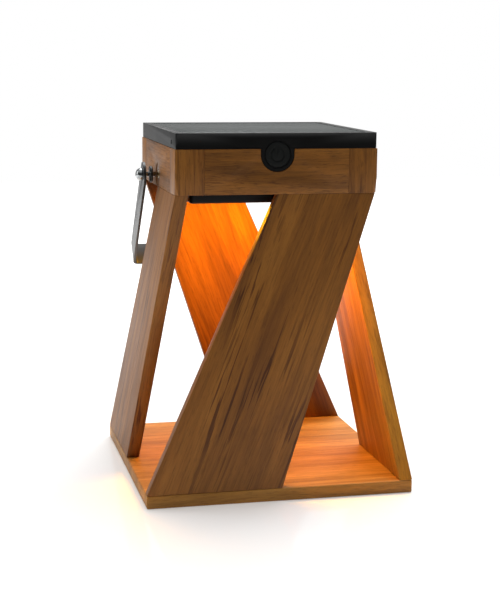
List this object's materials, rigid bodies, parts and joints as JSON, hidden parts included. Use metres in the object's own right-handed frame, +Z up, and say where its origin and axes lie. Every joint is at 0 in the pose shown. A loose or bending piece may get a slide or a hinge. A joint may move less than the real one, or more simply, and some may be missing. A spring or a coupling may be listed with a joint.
{
  "type": "solar lantern",
  "caption": "Square timber lantern with leaning boards, a lift-out solar lamp module on top and a swinging strap handle.",
  "frame": {"origin": "centre of the base board's underside, on the surface that the lantern stands on", "axes": "+Z up, -Y towards the button side, +X to the right seen from the button side"},
  "size_m": [0.267, 0.267, 0.3553],
  "materials": {
    "base_wood": "oiled",
    "leg_wood": "oiled",
    "post_wood": "oiled",
    "rail_wood": "oiled",
    "dowel_wood": "plain",
    "zinc_steel": "zinc plated",
    "brass_insert": "turned",
    "chrome_screw": "polished",
    "washer_nylon": "moulded",
    "strap_metal": "satin powder coat",
    "cover_plastic": "fine moulded texture",
    "seal_rubber": "moulded",
    "panel_backing": "film",
    "solar_cell": "printed silver lines",
    "panel_glass": "clear",
    "opal_diffuser": "opal",
    "circuit_board": "lacquered",
    "lamp_board": "white mask",
    "lamp_chip": "phosphor",
    "shelf_plastic": "moulded",
    "battery_sleeve": "shrink sleeve",
    "board_part": "moulded",
    "wire_insulation": "extruded",
    "button_rubber": "moulded",
    "smoked_window": "smoked"
  },
  "bodies": {
    "stand": {"base_board": "base_wood", "front_leg": "leg_wood", "left_leg": "leg_wood", "rear_leg": "leg_wood", "right_leg": "leg_wood", "front_left_post": "post_wood", "front_right_post": "post_wood", "rear_left_post": "post_wood", "rear_right_post": "post_wood", "front_rail": "rail_wood", "left_rail": "rail_wood", "rear_rail": "rail_wood", "right_rail": "rail_wood", "rail_dowels": "dowel_wood", "head_dowels": "dowel_wood", "base_screws": "zinc_steel", "pivot_inserts": "brass_insert", "pivot_screws": "chrome_screw", "pivot_washers": "washer_nylon"},
    "handle": {"carry_handle": "strap_metal"},
    "lamp_module": {"top_cover": "cover_plastic", "panel_seal": "seal_rubber", "panel_back": "panel_backing", "solar_cells": "solar_cell", "panel_glass": "panel_glass", "lamp_tray": "cover_plastic", "tray_seal": "seal_rubber", "tray_screws": "zinc_steel", "diffuser": "opal_diffuser", "led_board": "lamp_board", "led_chips": "lamp_chip", "inner_shelf": "shelf_plastic", "battery_cradle": "shelf_plastic", "battery_cells": "battery_sleeve", "control_board": "circuit_board", "board_parts": "board_part", "board_screws": "zinc_steel", "switch_board": "circuit_board", "tact_switch": "board_part", "charge_window": "smoked_window", "charge_led": "circuit_board", "panel_leads": "wire_insulation", "battery_leads": "wire_insulation", "lamp_leads": "wire_insulation", "switch_leads": "wire_insulation"},
    "button": {"power_button": "button_rubber"}
  },
  "joints": [
    {"name": "handle_swing", "type": "hinge", "parent": "stand", "child": "handle", "pos_m": [0, 0, 0.3085], "axis": [1, 0, 0], "range_deg": [0, 258]},
    {"name": "module_lift", "type": "slide", "parent": "stand", "child": "lamp_module", "axis": [0, 0, 1], "range_m": [0, 0.07]},
    {"name": "button_press", "type": "slide", "parent": "lamp_module", "child": "button", "axis": [0, 1, 0], "range_m": [0, 0.001], "stiffness_N_per_m": 1500, "springref_m": -0.0006}
  ]
}
